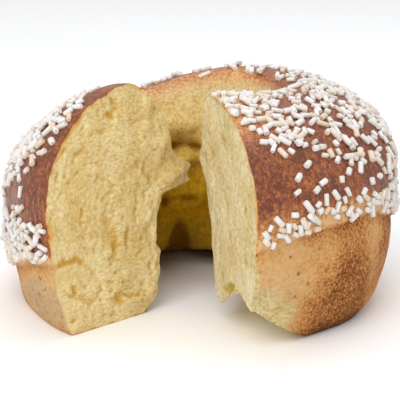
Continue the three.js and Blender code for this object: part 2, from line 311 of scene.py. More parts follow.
def foot_lift(turn, radius):
    """How far the foot is lifted: beside the right cut a ragged height, more inside the outer edge and less
    at a hanging flap, dying away along the arc; and the hole's far edge."""
    arc = np.radians(turn_between(turn, RIGHT_TURN)) % (2 * np.pi) * radius
    flap = FLAP["drop"] * bell(radius - FLAP["radius"], FLAP["width"]) * bell(arc, FLAP["length"])
    arch = TORN_FOOT["arch"] * smoothstep(radius, TORN_FOOT["outer"], TORN_FOOT["inner"])
    ragged = layered(place(turn, radius, 0 * radius), TORN_FOOT_LUMPS)
    dying = np.clip(1 - arc / TORN_FOOT["length"], 0, 1) ** TORN_FOOT["sag"]
    torn = (TORN_FOOT["lift"] + arch - flap + ragged) * dying
    return torn + far_foot(turn) * smoothstep(radius, FAR_FOOT["outer"], FAR_FOOT["inner"])


def swollen(turn, radius, height):
    """Moves section points away from the section's core by soft lumps: large ones, and fine ones on the
    crust."""
    away = np.stack([radius - CRUST_CORE[0], height - CRUST_CORE[1]])
    away = away / np.linalg.norm(away, axis=0)
    swell = layered(place(turn, radius, height), CRUST_LUMPS) * smoothstep(height, *CRUST_LUMPS_RISE)
    return radius + swell * away[0], height + swell * away[1]


def section_edges(turn, across, rise):
    """The section's foot, outer wall, top and hole wall as (radius, height): heights run from the foot by
    way of the rim to the shoulders, and the top is an arc of the dome between them."""
    inner_end = hole_radius(turn, foot_lift(turn, hole_radius(turn, 0 * turn)))
    outer_end = outer_radius(turn, foot_lift(turn, sized("foot_radius", turn)))
    foot_radius = inner_end + (outer_end - inner_end) * across
    foot = foot_radius, foot_lift(turn, foot_radius)

    def wall(radius_at, foot_height, middle, shoulder):
        """Half of a wall's steps go from the foot to a middle height and half from there to the shoulder."""
        low = foot_height + (middle - foot_height) * 2 * rise
        high = middle + (shoulder - middle) * (2 * rise - 1)
        height = np.where(rise < 0.5, low, high)
        return swollen(turn, radius_at(turn, height), height)

    ends = [0 * turn + SHOULDER_ANGLE, 0 * turn + 180 - SHOULDER_ANGLE]
    outer = wall(outer_radius, foot[1][..., -1:], rim_height(turn), dome_point(turn, ends[0])[1])
    hole = wall(hole_radius, foot[1][..., :1], SIZES["rim_height"][0], dome_point(turn, ends[1])[1])
    top = swollen(turn, *dome_point(turn, 180 - SHOULDER_ANGLE + (2 * SHOULDER_ANGLE - 180) * across))
    return foot, outer, top, hole


def section_loop(turn, across_steps, rise_steps):
    """Closed loops of the section: foot outwards, outer wall up, top inwards, hole wall down, without the
    repeated corners."""
    across = np.linspace(0, 1, across_steps + 1)[None, :]
    rise = np.linspace(0, 1, rise_steps + 1)[None, :]
    foot, outer, top, hole = section_edges(turn, across, rise)
    return [
        np.concatenate([foot[i][:, :-1], outer[i][:, :-1], top[i][:, :0:-1], hole[i][:, :0:-1]], axis=1)
        for i in (0, 1)
    ]


def section_face(turn, across_steps, rise_steps):
    """The section filled in: the blend of its foot and top plus the blend of its walls less the blend of
    its four corners."""
    across = np.linspace(0, 1, across_steps + 1)[:, None]
    rise = np.linspace(0, 1, rise_steps + 1)[None, :]
    turn = np.full((1, 1), float(turn))
    foot, outer, top, hole = section_edges(turn, across.T, rise)
    filled = []
    for i in (0, 1):
        f, o, t, h = foot[i].T, outer[i], top[i].T, hole[i]
        inner_corners = (1 - rise) * f[0] + rise * t[0]
        outer_corners = (1 - rise) * f[-1] + rise * t[-1]
        corners = (1 - across) * inner_corners + across * outer_corners
        filled.append((1 - rise) * f + rise * t + (1 - across) * h + across * o - corners)
    return filled


def knife_turn(turn, offset, radius):
    """Turn of a flat cut at a radius: the cut's own turn less the arc sine of its offset over the
    radius."""
    return np.sign(turn) * (abs(turn) - np.degrees(np.arcsin(np.clip(offset / radius, -1, 1))))


def cut_distance(turn, radius, cut_turn, offset):
    """Distance (mm) of a point of the skin from a cut's plane, far on the other side of the ring."""
    away = turn_between(turn, knife_turn(cut_turn, offset, radius))
    return np.where(np.abs(away) < BESIDE, radius * np.abs(np.sin(np.radians(away))), FAR_AWAY)


# Hollows in the crumb of each cut: radius, height, half width, half height (mm), lean (degrees), depth (mm)
LEFT_HOLLOWS = [
    (59.8, 106.2, 1.9, 4.6, -25, 2.2),
    (61.2, 99.6, 2.4, 3.8, -50, 2.2),
    (88.6, 88.0, 1.3, 4.2, 30, 2.2),
    (92.6, 77.0, 1.2, 4.6, 15, 2.0),
    (61.5, 42.0, 6.5, 15.0, -4, 1.4),
    (59.6, 36.0, 4.2, 8.0, 6, 2.1),
    (52.0, 40.5, 2.1, 7.5, 0, 1.9),
    (63.5, 31.7, 1.3, 1.9, 20, 1.8),
    (59.1, 24.1, 2.0, 1.6, 0, 1.9),
    (84.3, 20.8, 1.9, 5.0, -16, 2.1),
    (57.5, 10.8, 4.2, 2.6, 4, 1.9),
    (38.6, 23.5, 1.7, 3.6, 0, 1.9),
    (45.0, 74.0, 2.4, 3.4, 20, 1.6),
]
RIGHT_HOLLOWS = [
    (61.7, 47.1, 2.6, 4.5, 0, 1.4),
    (85.0, 41.0, 2.4, 4.2, 0, 1.5),
    (67.7, 30.3, 2.6, 5.0, 0, 1.1),
    (50.7, 23.3, 5.0, 3.5, 0, 1.2),
    (62.5, 20.8, 14.0, 3.6, 22, 2.4),
    (34.2, 87.4, 2.2, 3.0, 0, 1.2),
    (55.2, 88.3, 2.4, 2.4, 0, 1.2),
    (58.5, 72.8, 1.4, 3.0, 0, 1.2),
]
# Small pores strewn between them: count, ranges of radius, height and half width (mm), and most stretch
RIGHT_PORES = (280, (24, 103), (4, 102), (0.6, 1.6), 3.0)
LEFT_PORES = (420, (30, 98), (4, 112), (0.6, 1.6), 2.8)
# Seams of the rolled dough on the left cut: depth (mm) and (radius, height) points
LEFT_SEAMS = [
    (1.8, [(97, 34.6), (89.6, 35.3), (85, 35.3), (82, 36.1), (79.4, 33.8)]),
    (0.9, [(79.4, 33.8), (75.1, 29.6), (71, 24.8), (68.7, 20.1)]),
    (1.3, [(68.8, 17.5), (71.9, 14.2), (75.6, 13.8), (78.5, 15.3), (80.8, 17.6)]),
    (1.4, [(61, 10.5), (60, 12.8), (58, 13.6), (55.5, 13.2), (53, 11.5)]),
    (1.4, [(53, 11.5), (51, 10.9), (49, 11.3), (46.1, 10.6)]),
]
SEAM_WIDTH = 2.5
PIT_FLOOR = 0.1  # distance at which a seam (mm) or hollow (share) is deepest
HOLLOW_EDGE = 1.15  # share of a hollow's size at which it ends
PORE_SMALLNESS = 3  # the higher, the more strewn pores are small
PORE_STRETCH = 1.2  # least stretch of a strewn pore
PORE_LEAN = 35  # degrees either way
PIT_SHARE = 0.7  # how much of a pore's depth is modelled; all of it darkens the crumb as painted shade
BORDER = {"share": 0.25, "fade": (0.3, 3.0)}  # how much of its crumb's depth a face keeps at its border (mm)
CRUST_START = 20  # where a face's top edge has crust, in grid steps from the hole
RIGHT_STREAK = 2.6  # how far the lumps of a face are stretched upwards
LEFT_STREAK = 1.25
SEAM_SLICE = 9  # where the lumps of seams are cut through (mm)


def seamed(radius, height, seams):
    """Depth of the seams in a cut face: for each, its depth times a cubic of the distance to its nearest
    stretch over its width, which lumps make ragged; the deepest counts."""
    p = np.stack([radius, height], -1)
    flat = np.stack([radius, height, SEAM_SLICE + 0 * radius], -1)
    width = SEAM_WIDTH * (1 + layered(flat, SEAM_WIDTH_LUMPS))
    finer = layered(flat, SEAM_LUMPS)
    depth = np.zeros(np.shape(radius))
    for deep, seam in seams:
        near = np.full(np.shape(radius), FAR_AWAY)
        for start, end in zip(np.array(seam[:-1]), np.array(seam[1:])):
            along = np.clip((p - start) @ (end - start) / ((end - start) @ (end - start)), 0, 1)
            near = np.minimum(near, np.linalg.norm(p - start - along[..., None] * (end - start), axis=-1))
        depth = np.maximum(depth, deep * (1 - smoothstep(near + finer, PIT_FLOOR, width)))
    return depth


def hollowed(radius, height, hollows):
    """Depth of elliptical hollows in a cut face: for each, its depth times a cubic of the distance in its
    own turned and stretched axes, made ragged by lumps; the deepest counts."""
    depth = np.zeros(np.shape(radius))
    ragged = layered(np.stack([radius, height, 0 * radius], -1), HOLLOW_LUMPS)
    for r, z, half_r, half_z, lean, deep in hollows:
        a = np.radians(lean)
        u = (radius - r) * np.cos(a) + (height - z) * np.sin(a)
        v = (height - z) * np.cos(a) - (radius - r) * np.sin(a)
        near = np.sqrt((u / half_r) ** 2 + (v / half_z) ** 2) + ragged
        depth = np.maximum(depth, deep * (1 - smoothstep(near, PIT_FLOOR, HOLLOW_EDGE)))
    return depth


def strewn_pores(count, radius_range, height_range, sizes, stretch, rolled):
    """Random small pores as hollows: places drawn over a range, sizes by a power of a draw so that most are
    small; in rolled dough they lie along circles round the section's core, otherwise upright, each turned
    by a draw."""
    r = random.uniform(*radius_range, count)
    z = random.uniform(*height_range, count)
    half = sizes[0] + (sizes[1] - sizes[0]) * random.random(count) ** PORE_SMALLNESS
    round_core = np.degrees(np.arctan2(z - CRUST_CORE[1], r - CRUST_CORE[0]))
    lean = rolled * round_core + random.uniform(-PORE_LEAN, PORE_LEAN, count)
    return np.stack([r, z, half, half * random.uniform(PORE_STRETCH, stretch, count), lean, half], 1)


def crumb_depths(turn, radius, height, hollows, seams, streak):
    """How far the torn crumb of a cut stands back from the knife's plane (mm), and the depth of its pores:
    lumps of several sizes, stretched upwards by the streak, more of them towards the hole, and hollows and
    seams."""
    p = np.stack(np.broadcast_arrays(radius, height / streak, turn), -1)
    ragged = smoothstep(radius, *CRUMB_EDGE) * layered(p, CRUMB_EDGE_LUMPS)
    pits = np.maximum(hollowed(radius, height, hollows), seamed(radius, height, seams))
    return layered(p, CRUMB_LUMPS) + ragged + PIT_SHARE * pits, pits


def edge_distance(radius, height, edge_radius, edge_height):
    """Distance (mm) from each point of a face to the nearest of a row of edge points."""
    gap = np.hypot(radius[..., None] - edge_radius, height[..., None] - edge_height)
    return gap.min(-1)


def face_border(grid):
    """A face grid's border in the order of the section's loop."""
    return np.concatenate([grid[:-1, 0], grid[-1, :-1], grid[:0:-1, -1], grid[0, :0:-1]])


def cut_face(turn, offset, into, hollows, seams, streak, side_from, foot_to):
    """One cut face on its grid: the filled section, set on the knife's plane and pushed into the cake by
    its crumb, less towards its border. Its rind starts a number of steps up the side and spans a number
    along the foot."""
    radius, height = section_face(turn, 2 * ACROSS_STEPS, 2 * RISE_STEPS)
    depth, pits = crumb_depths(turn, radius, height, hollows, seams, streak)
    from_border = edge_distance(radius, height, face_border(radius), face_border(height))
    depth = depth * (BORDER["share"] + (1 - BORDER["share"]) * smoothstep(from_border, *BORDER["fade"]))
    crust = [
        np.concatenate([grid[-1, side_from:], grid[CRUST_START:, -1], grid[:foot_to, 0]])
        for grid in (radius, height)
    ]
    turned = knife_turn(turn, offset, radius) + into * np.degrees(depth / radius)
    return {
        "points": place(turned, radius, height),
        "turn": np.full(radius.shape, turn),
        "radius": radius,
        "height": height,
        "rind": edge_distance(radius, height, *crust),
        "pit": pits,
    }


def skin_rows():
    """The skin: loops of the section at even turns, each point's turn blended between the two knife
    cuts."""
    share = np.linspace(0, 1, ARC_STEPS + 1)[1:-1, None]
    turn = RIGHT_TURN + SPAN * share
    radius, height = section_loop(turn, ACROSS_STEPS, RISE_STEPS)
    start = knife_turn(*RIGHT_CUT, radius)
    end = knife_turn(*LEFT_CUT, radius) + 360
    turned = start + (end - start) * share
    return {
        "points": place(turned, radius, height),
        "turn": np.broadcast_to(turn, radius.shape),
        "radius": radius,
        "height": height,
    }


def put_mesh(name, points, polygons, smooth=True):
    """A mesh object from an array of points (mm, about the axis) and lists of polygon arrays of one size
    each; smooth is one truth value or one for each polygon."""
    mesh = bpy.data.meshes.new(name)
    sizes = np.concatenate([np.full(len(rows), rows.shape[1]) for rows in polygons])
    corners = np.concatenate([rows.ravel() for rows in polygons]).astype(np.int32)
    mesh.vertices.add(len(points))
    mesh.vertices.foreach_set("co", ((points + AXIS) * MM).astype(np.float32).ravel())
    mesh.loops.add(len(corners))
    mesh.loops.foreach_set("vertex_index", corners)
    mesh.polygons.add(len(sizes))
    mesh.polygons.foreach_set("loop_start", np.concatenate([[0], np.cumsum(sizes)[:-1]]).astype(np.int32))
    mesh.polygons.foreach_set("use_smooth", np.array(np.broadcast_to(smooth, len(sizes))))
    mesh.update(calc_edges=True)
    mesh.validate()
    piece = bpy.data.objects.new(name, mesh)
    bpy.context.scene.collection.objects.link(piece)
    return piece


def put_values(piece, name, values):
    """A number at each point of a mesh, for its material."""
    layer = piece.data.attributes.new(name, "FLOAT", "POINT")
    layer.data.foreach_set("value", np.asarray(values, dtype=np.float32))


def quads(a, b, c, d):
    """Polygon corners from four grids of indices."""
    return np.stack([a, b, c, d], -1).reshape(-1, 4)


def joined(border, row):
    """Triangles that join a face's border to a loop with half as many points: three for each step of the
    loop."""
    near, middle, far = border[::2], border[1::2], np.roll(border[::2], -1)
    there = np.roll(row, -1)
    corners = [(near, row, middle), (row, there, middle), (middle, there, far)]
    return np.concatenate([np.stack(three, 1) for three in corners])


def cake_body():
    """The whole cake as one closed mesh: coarse loops round the ring, joined at both ends to the finer
    borders of the cut faces. Returns the object and the skin's rows."""
    right_hollows = np.concatenate([RIGHT_HOLLOWS, strewn_pores(*RIGHT_PORES, rolled=0)])
    left_hollows = np.concatenate([LEFT_HOLLOWS, strewn_pores(*LEFT_PORES, rolled=1)])
    faces = [
        cut_face(*RIGHT_CUT, 1, right_hollows, [], RIGHT_STREAK, side_from=RISE_STEPS, foot_to=0),
        cut_face(*LEFT_CUT, -1, left_hollows, LEFT_SEAMS, LEFT_STREAK, side_from=0, foot_to=None),
    ]
    skin = skin_rows()
    points = np.concatenate([part["points"].reshape(-1, 3) for part in (skin, *faces)])
    skin_shape, face_shape = skin["radius"].shape, faces[0]["radius"].shape
    skin_index = np.arange(np.prod(skin_shape)).reshape(skin_shape)
    right_index = skin_index.size + np.arange(np.prod(face_shape)).reshape(face_shape)
    left_index = right_index + right_index.size
    borders = face_border(right_index), face_border(left_index)
    ahead = np.roll(skin_index, -1, 1)
    skin_polygons = [
        quads(skin_index[:-1], skin_index[1:], ahead[1:], ahead[:-1]),
        joined(borders[0], skin_index[0]),
        joined(borders[1], skin_index[-1])[:, ::-1],
    ]
    face_polygons = [
        quads(right_index[:-1, :-1], right_index[1:, :-1], right_index[1:, 1:], right_index[:-1, 1:]),
        quads(left_index[:-1, :-1], left_index[:-1, 1:], left_index[1:, 1:], left_index[1:, :-1]),
    ]
    body = put_mesh("cake_body", points, skin_polygons + face_polygons)
    counts = [sum(len(rows) for rows in group) for group in (skin_polygons, face_polygons)]
    body.data.polygons.foreach_set("material_index", np.repeat([0, 1], counts).astype(np.int32))
    mark_cut_edges(body, np.concatenate(borders))
    put_crust_values(body, skin, faces)
    return body, skin


def mark_cut_edges(body, border):
    """Marks the knife's edges as sharp: those whose two ends both lie on a cut face's border."""
    on_border = np.zeros(len(body.data.vertices), dtype=bool)
    on_border[border] = True
    ends = np.empty(len(body.data.edges) * 2, dtype=np.int32)
    body.data.edges.foreach_get("vertices", ends)
    sharp = body.data.attributes.new("sharp_edge", "BOOLEAN", "EDGE")
    sharp.data.foreach_set("value", on_border[ends].reshape(-1, 2).all(1))


# Scorched and pale patches of the tinned side: turn, height, half length and half height (mm), browning. The
# pale one at -56 degrees is partly paler baking and partly painted shade of the left side
SIDE_PATCHES = [
    (49, 10, 27, 32, 0.46),
    (46, 42, 15, 16, 0.18),
    (70, 34, 14, 26, 0.3),
    # partly painted shade: the greyish pale left side
    (-56, 12, 54, 40, -0.28),
    (24, 34, 20, 16, -0.08),
    (108, 6, 30, 30, 0.34),
    (152, 4, 40, 26, 0.38),
    (190, 24, 24, 22, 0.16),
    (232, 4, 36, 28, 0.34),
    (270, 14, 26, 22, 0.16),
]
PATCH_RADIUS = 95  # where their lengths are measured
PATCH_WANDER = [(5, 12.0, 0), (3, 4.5, 0)]
PATCH_EDGE = (0.4, 1.25)
# Mean browning, its lumps, what is added at the foot, and darker strips under the rim on either piece:
# browning with painted shade under the ledge
SIDE_MEAN = 0.34
SIDE_LUMPS = [(0.06, 13.0, 0)]
FOOT_BAKE = {"share": 0.3, "height": 9}
RIGHT_RIM_BAKE_AND_SHADE = {"share": 0.24, "turn": 30, "fade": 3, "thickness": 4.5}
LEFT_RIM_BAKE_AND_SHADE = {"share": 0.42, "at": (-66, 26), "thickness": 6, "lumps": [(3, 9.0, 0)]}
# Golden parts of the risen crust: above the rim, in the funnel, where it starts later at one turn and on the
# far side, and on the crest beside the right cut
GOLDEN_RIM = {"at": (34, 34), "start": (1, 2), "end": (9, 7), "by_cut": 5, "cut_width": 16}
GOLDEN_FUNNEL = {"share": 0.8, "start": -0.45, "span": 0.85, "rise": (0.5, 0.9)}
LATE_GOLD = {"at": (100, 38), "start": 0.55}
FAR_GOLD = {"at": (180, 45), "start": 0.22, "span": -0.25}
GOLDEN_CUT = {"share": 0.75, "width": 22, "rise": (0.6, 0.88)}

# Bare crumb: no side is nearer the axis than its start; strips are worn along the cuts below the rim (mm)
TORN_START = 60
NOT_TORN = -20
FLAP_TORN = 6
ROLL_CORE = 60  # square mm round the core within which the rolled dough has no way to lie
FUNNEL_VALUES = (-0.2, 1.5)  # least and most of the funnel's depth that the crust's material reads
CAVITY_SHADE_START = 0.2  # depth of the funnel from which the wall's cavities get painted shade
WORN_LEFT = {"depth": 1.6, "fade": 0.25}
WORN_RIGHT = {"width": 0.5, "below": 52, "growth": 0.3, "most": 4.5, "fade": 2}


def side_bake(turn, height):
    """Browning of the tinned side, 0 to 1: a mean plus humps for its patches, each round in arc and height,
    darker strips under the rim (browning with painted shade under the ledge) and at the foot, and lumps."""
    p = place(turn, SIDE_RADIUS, height)
    foot = FOOT_BAKE["share"] * smoothstep(height, FOOT_BAKE["height"], 0)
    total = SIDE_MEAN + layered(p, SIDE_LUMPS) + foot
    # darker strips just under the rim: browning, with painted shade under the ledge
    under_rim = rim_height(turn) - height - 1
    right = smoothstep(turn_between(turn, RIGHT_RIM_BAKE_AND_SHADE["turn"]), -RIGHT_RIM_BAKE_AND_SHADE["fade"], RIGHT_RIM_BAKE_AND_SHADE["fade"])
    total = total + RIGHT_RIM_BAKE_AND_SHADE["share"] * right * bell(under_rim, RIGHT_RIM_BAKE_AND_SHADE["thickness"])
    left = hump(turn, *LEFT_RIM_BAKE_AND_SHADE["at"])
    thickness = LEFT_RIM_BAKE_AND_SHADE["thickness"] + layered(p, LEFT_RIM_BAKE_AND_SHADE["lumps"])
    total = total + LEFT_RIM_BAKE_AND_SHADE["share"] * left * bell(under_rim, thickness)
    wander = layered(p, PATCH_WANDER)
    for centre, level, half_arc, half_height, bake in SIDE_PATCHES:
        arc = np.radians(turn_between(turn, centre)) * PATCH_RADIUS + wander
        near = np.hypot(arc / half_arc, (height - level + wander) / half_height)
        total = total + bake * (1 - smoothstep(near, *PATCH_EDGE))
    return total


def dome_bake(turn, radius, height):
    """Browning of the risen crust, 0 to 1: full on the dome, less just above the rim, towards the hole and
    on the crest beside the right cut."""
    level, crest = sized("belly_height", turn), sized("crest_height", turn)
    rise = np.clip((height - level) / (crest - level), 0, 1)
    inward = inwardness(turn, radius, height)
    golden = hump(turn, *GOLDEN_RIM["at"])
    by_cut = GOLDEN_RIM["by_cut"] * hump(turn, RIGHT_TURN, GOLDEN_RIM["cut_width"])
    start, end = (first + more * golden for first, more in (GOLDEN_RIM["start"], GOLDEN_RIM["end"]))
    brown = smoothstep(height - rim_height(turn), start, end + by_cut)
    late = hump(turn, *LATE_GOLD["at"])
    far = hump(turn, *FAR_GOLD["at"])
    start = GOLDEN_FUNNEL["start"] + LATE_GOLD["start"] * late + FAR_GOLD["start"] * far
    end = start + GOLDEN_FUNNEL["span"] + FAR_GOLD["span"] * far
    funnel = smoothstep(inward, start, end) * smoothstep(rise, *GOLDEN_FUNNEL["rise"])
    beside = bell(cut_distance(turn, radius, *RIGHT_CUT), GOLDEN_CUT["width"])
    beside = beside * smoothstep(rise, *GOLDEN_CUT["rise"])
    return brown - GOLDEN_FUNNEL["share"] * funnel - GOLDEN_CUT["share"] * beside


def torn_depth(turn, radius, height, foot):
    """How far (mm) a point lies inside bare crumb: in the side's torn patch, on the torn foot, or in the
    strips worn along the cuts below the rim, of which the right one widens downwards."""
    by_right = np.abs(turn_between(turn, RIGHT_TURN))
    torn = np.where(radius > TORN_START, torn_inside(turn, height), NOT_TORN)
    torn = np.where(foot & (by_right < TORN_FOOT["turns"]), foot_lift(turn, radius) - 1, torn)
    left = WORN_LEFT["depth"] - WORN_LEFT["fade"] * cut_distance(turn, radius, *LEFT_CUT)
    widening = np.clip(WORN_RIGHT["growth"] * (WORN_RIGHT["below"] - height), 0, WORN_RIGHT["most"])
    right = WORN_RIGHT["width"] + widening - cut_distance(turn, radius, *RIGHT_CUT)
    worn = np.maximum(left, WORN_RIGHT["fade"] * right)
    worn = np.where((height < rim_height(turn)) & ~foot & (radius > TORN_START), worn, NOT_TORN)
    return np.maximum(torn, worn)


def put_crust_values(body, skin, faces):
    """Numbers for the materials: height and height above the rim, depth in torn crumb and in the hole,
    browning of dome and side (with painted shade under the rim), the far wall's cavities for their painted
    shade, the foot, and on the cut faces the distance from the crust, the depth of pores (which darkens the
    crumb there as painted shade), which face it is, the way the dough lies there and the place on the face."""
    turn, radius, height = (
        np.concatenate([part[key].ravel() for part in (skin, *faces)])
        for key in ("turn", "radius", "height")
    )
    blank = np.zeros(skin["radius"].size)
    foot = np.zeros(len(turn), dtype=bool)
    foot[:blank.size].reshape(skin["radius"].shape)[:, :ACROSS_STEPS] = True
    inward = inwardness(turn, radius, height)
    hole_wall = (height < THROAT_HEIGHT) & (radius < HOLE_SIDE) & ~foot
    by_flap = np.abs(turn_between(turn, RIGHT_TURN)) < FLAP["turns"]
    by_flap = by_flap & (radius < HOLE_SIDE) & (height < FLAP["top"])
    from_core = (radius - CRUST_CORE[0]) ** 2, (height - CRUST_CORE[1]) ** 2
    across = from_core[0] / (from_core[0] + from_core[1] + ROLL_CORE)
    values = {
        "height": height,
        "above_rim": height - rim_height(turn),
        "torn": np.where(hole_wall & by_flap, FLAP_TORN, torn_depth(turn, radius, height, foot)),
        "in_hole": np.where(hole_wall | by_flap, 1, np.clip(inward, *FUNNEL_VALUES)),
        "brown": dome_bake(turn, radius, height),
        "side_brown": side_bake(turn, height),
        "cavity_for_shade": np.where(inward > CAVITY_SHADE_START, far_wall(turn, height), 0),
        "under": foot,
        "rind": np.concatenate([blank, *(face["rind"].ravel() for face in faces)]),
        "pit": np.concatenate([blank, *(face["pit"].ravel() for face in faces)]),
        "right_face": np.repeat([0, 1, 0], [blank.size, *(face["radius"].size for face in faces)]),
        "upright": np.where(turn == RIGHT_TURN, 1, across),
    }
    for name, numbers in values.items():
        put_values(body, name, numbers)
    on_face = (np.stack([radius, height, turn], -1) * MM).astype(np.float32)
    layer = body.data.attributes.new("face_place", "FLOAT_VECTOR", "POINT")
    layer.data.foreach_set("vector", on_face.ravel())


# Pearl sugar, mm
SUGAR_COUNT = 1400
SUGAR_TRIES = 24000
SUGAR_GAP = 2.3  # least distance between middles
SUGAR_HEAP = 3.0  # nearer than this, a rod lies on its neighbour
SUGAR_DIAMETER = (2.25, 2.9)
SUGAR_LENGTH = (2.9, 6.4)
SUGAR_SHORTNESS = 1.7  # the higher, the more rods are short
SUGAR_TILT = {"heaped": 0.3, "lying": 0.16}  # most slope either way
SUGAR_SINK = {"heaped": 0.5, "lying": 0.25}  # height of the middle, as a share of the diameter
SUGAR_UNEVEN = {"sides": 0.09, "rings": 0.05}
SUGAR_SIDES = 8
SUGAR_STATIONS = np.array([-1, -0.88, 0.88, 1]) / 2  # rings along a rod, as shares of its length
SUGAR_RADII = np.array([0.82, 1, 1, 0.82]) / 2  # and of its diameter

# Where the strewing is thick or bare: turn, radius, size (mm) and added share
SUGAR_SPOTS = [
    (106, 43, 9, -1.0),
    (62, 49, 6, -0.5),
    (72, 79, 14, -0.25),
    (54, 81, 10, -0.2),
    (44, 78, 7, -0.4),
    (45, 95, 5, -0.8),
    (64, 98, 8, -0.6),
    (128, 52, 9, -0.7),
    (106, 58, 12, 0.7),
    (24, 52, 14, 0.1),
    (26, 70, 9, 0.5),
    (20, 36, 10, 0.6),
    (40, 66, 12, 0.1),
    (45, 46, 10, 0.3),
    (20, 88, 14, -0.9),
    (56, 97, 7, -0.7),
    (31, 95, 6, -0.5),
    (99, 47, 7, -0.8),
    (-66, 70, 14, 0.7),
    (-70, 92, 10, 0.6),
]
# Strewing of the dome by its rise, starting lower away from the right cut, and of the funnel; its clumps; the
# rise from which spots count; the nearly bare far crest; the band on the rim's ledge, its wider places (turn,
# width, mm) and its clumps; and a sparse belt above it
STREWN_DOME = {"low": 0.45, "lower": 0.24, "turn": 17, "turns": (25, 60), "fade": 0.14}
STREWN_FUNNEL = {"inward": (0.6, 0.17), "rise": (0.7, 0.9)}
CLUMPS = {"least": 0.4, "size": 12.0, "edge": (-0.5, 0.1)}
SPOTS_RISE = 0.3
BARE_CREST = {"share": 0.92, "at": (-174, 46), "radii": (94, 76)}
LEDGE_BAND = {"cover": 2.3, "half": 5.5, "start": (0.3, 2.0)}
LEDGE_WIDER = [(34, 9, 2.5), (-58, 16, 5)]
LEDGE_CLUMPS = {"least": 0.45, "size": 9.0, "shift": 7, "edge": (-0.6, 0.2)}
BELT = {"cover": 0.3, "above": (6, 14), "from_cut": (10, 18)}
# Bare strips along the cuts (mm): the left one changes its width with the rise, and the top of the ledge's
# band is sparse by the right one
LEFT_BARE = {"width": 18, "fade": 7}
LEFT_BARE_CHANGES = [(-8, 0.35, 0.6), (14, 0.85, 0.97)]
RIGHT_BARE = (0.5, 2.5)
LEDGE_BARE = {"gap": (0.5, 3), "share": 0.85, "width": 12, "above": (4, 9)}


def clumped(points, clumps):
    """A share from its least value up to one, in clumps: a cubic of lumps between two of their values."""
    found = smoothstep(lumps(points, clumps["size"]), *clumps["edge"])
    return clumps["least"] + (1 - clumps["least"]) * found


def sugar_cover(turn, radius, height):
    """How thickly the sugar lies, 0 to 1: a band on the rim's ledge, a sparse belt, and the strewn dome,
    broken into clumps by lumps and spots, nearly bare on the far crest and left bare along the cuts."""
    level, crest = sized("belly_height", turn), sized("crest_height", turn)
    rise = (height - level) / (crest - level)
    above = height - rim_height(turn)
    outer = radius > sized("crest_radius", turn)
    p = place(turn, radius, height)
    clump = clumped(p, CLUMPS)
    for centre, middle, size, share in SUGAR_SPOTS:
        away = np.linalg.norm(place(turn, radius, 0.0) - place(centre, middle, 0.0), axis=-1)
        clump = np.maximum(clump + share * bell(away, size) * (rise > SPOTS_RISE), 0)
    from_cut = np.abs(turn_between(turn, STREWN_DOME["turn"]))
    low = STREWN_DOME["low"] - STREWN_DOME["lower"] * smoothstep(from_cut, *STREWN_DOME["turns"])
    inside = smoothstep(inwardness(turn, radius, height), *STREWN_FUNNEL["inward"])
    inside = inside * smoothstep(rise, *STREWN_FUNNEL["rise"])
    dome = np.where(outer, smoothstep(rise, low, low + STREWN_DOME["fade"]), inside) * clump
    far = hump(turn, *BARE_CREST["at"]) * smoothstep(radius, *BARE_CREST["radii"])
    dome = dome * (1 - BARE_CREST["share"] * far)
    half_band = LEDGE_BAND["half"] + sum(more * hump(turn, *at) for *at, more in LEDGE_WIDER)
    ledge = LEDGE_BAND["cover"] * plateau(above - half_band + 1, half_band)
    ledge = ledge * smoothstep(above, *LEDGE_BAND["start"]) * outer
    ledge = ledge * clumped(p + LEDGE_CLUMPS["shift"], LEDGE_CLUMPS)
    left_gap = cut_distance(turn, radius, *LEFT_CUT)
    right_gap = cut_distance(turn, radius, *RIGHT_CUT)
    belt = BELT["cover"] * smoothstep(above, *BELT["above"]) * outer
    belt = belt * smoothstep(right_gap, *BELT["from_cut"])
    strip = LEFT_BARE["width"] + sum(more * smoothstep(rise, *rises) for more, *rises in LEFT_BARE_CHANGES)
    bare = smoothstep(left_gap, strip, strip + LEFT_BARE["fade"]) * smoothstep(right_gap, *RIGHT_BARE)
    rim_bare = smoothstep(np.minimum(left_gap, right_gap), *LEDGE_BARE["gap"])
    by_right = bell(right_gap, LEDGE_BARE["width"]) * smoothstep(above, *LEDGE_BARE["above"])
    rim_bare = rim_bare * (1 - LEDGE_BARE["share"] * by_right)
    return np.maximum(np.maximum(dome, belt) * bare, ledge * rim_bare)


def strewn_places(skin):
    """Places for the sugar: cells of the skin drawn by area times cover, a random point in each, and only
    those kept that lie clear of the ones before. Returns points, outward directions and whether each is
    heaped on others."""
    grid = skin["points"]
    ahead = np.roll(grid, -1, 1)
    corner = grid[:-1], grid[1:], ahead[1:], ahead[:-1]
    normal = np.cross(corner[1] - corner[3], corner[2] - corner[0])
    area = np.linalg.norm(normal, axis=-1) / 2
    normal = normal / (2 * area[..., None] + 1e-9)
    middle = [(skin[key][:-1] + skin[key][1:]) / 2 for key in ("turn", "radius", "height")]
    chance = (area * sugar_cover(*middle)).ravel()
    drawn = random.choice(chance.size, SUGAR_TRIES, p=chance / chance.sum())
    s, t = random.random((2, SUGAR_TRIES, 1))
    a, b, c, d = (part.reshape(-1, 3)[drawn] for part in corner)
    points = (1 - s) * ((1 - t) * a + t * d) + s * ((1 - t) * b + t * c)
    kept = []
    heaped = []
    for i, point in enumerate(points):
        gap = np.linalg.norm(points[kept] - point, axis=1).min(initial=FAR_AWAY)
        if gap > SUGAR_GAP:
            heaped.append(gap < SUGAR_HEAP)
            kept.append(i)
        if len(kept) == SUGAR_COUNT:
            break
    return points[kept], normal.reshape(-1, 3)[drawn[kept]], np.array(heaped)


def unit(vectors):
    """Vectors divided by their lengths."""
    return vectors / np.linalg.norm(vectors, axis=1)[:, None]


